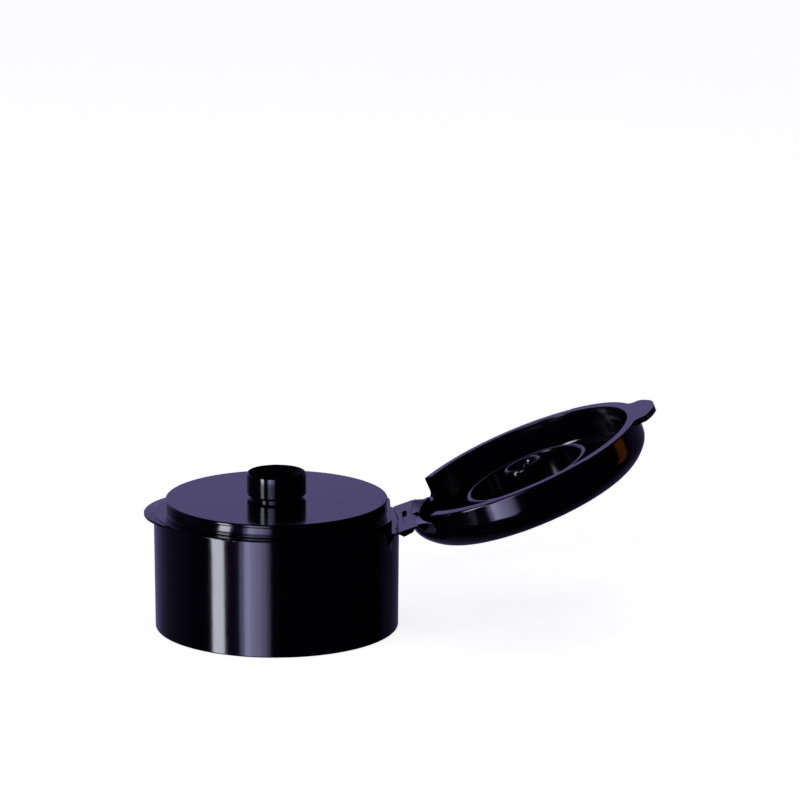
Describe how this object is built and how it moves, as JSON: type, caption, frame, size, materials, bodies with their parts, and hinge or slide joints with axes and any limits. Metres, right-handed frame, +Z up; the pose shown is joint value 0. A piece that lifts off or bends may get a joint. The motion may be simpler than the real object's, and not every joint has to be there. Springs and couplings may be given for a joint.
{
  "type": "flip top cap",
  "caption": "One-piece flip top bottle cap with a round spout, shown with its domed lid swung open on a double film hinge.",
  "frame": {"origin": "centre of the threaded skirt's open end, on the plane that the cap stands on", "axes": "+Z up along the cap's axis towards the spout, +X towards the hinge and the open lid"},
  "size_m": [0.0734, 0.0362, 0.0326],
  "materials": {
    "moulded_black": "glossy moulded polypropylene, near black with a violet cast"
  },
  "bodies": {
    "base": {"cap_base": "moulded_black"},
    "link": {"hinge_link": "moulded_black"},
    "lid": {"lid": "moulded_black"}
  },
  "joints": [
    {"name": "base_film", "type": "hinge", "parent": "base", "child": "link", "pos_m": [0.0169, 0, 0.0154], "axis": [0, 1, 0], "range_deg": [-69.82, 10.18]},
    {"name": "lid_film", "type": "hinge", "parent": "link", "child": "lid", "pos_m": [0.0199, 0, 0.0165], "axis": [0, 1, 0], "range_deg": [-87.28, 12.73]}
  ],
  "couplings": [
    {"joint": "lid_film", "follows": "base_film", "ratio": 1.25}
  ]
}
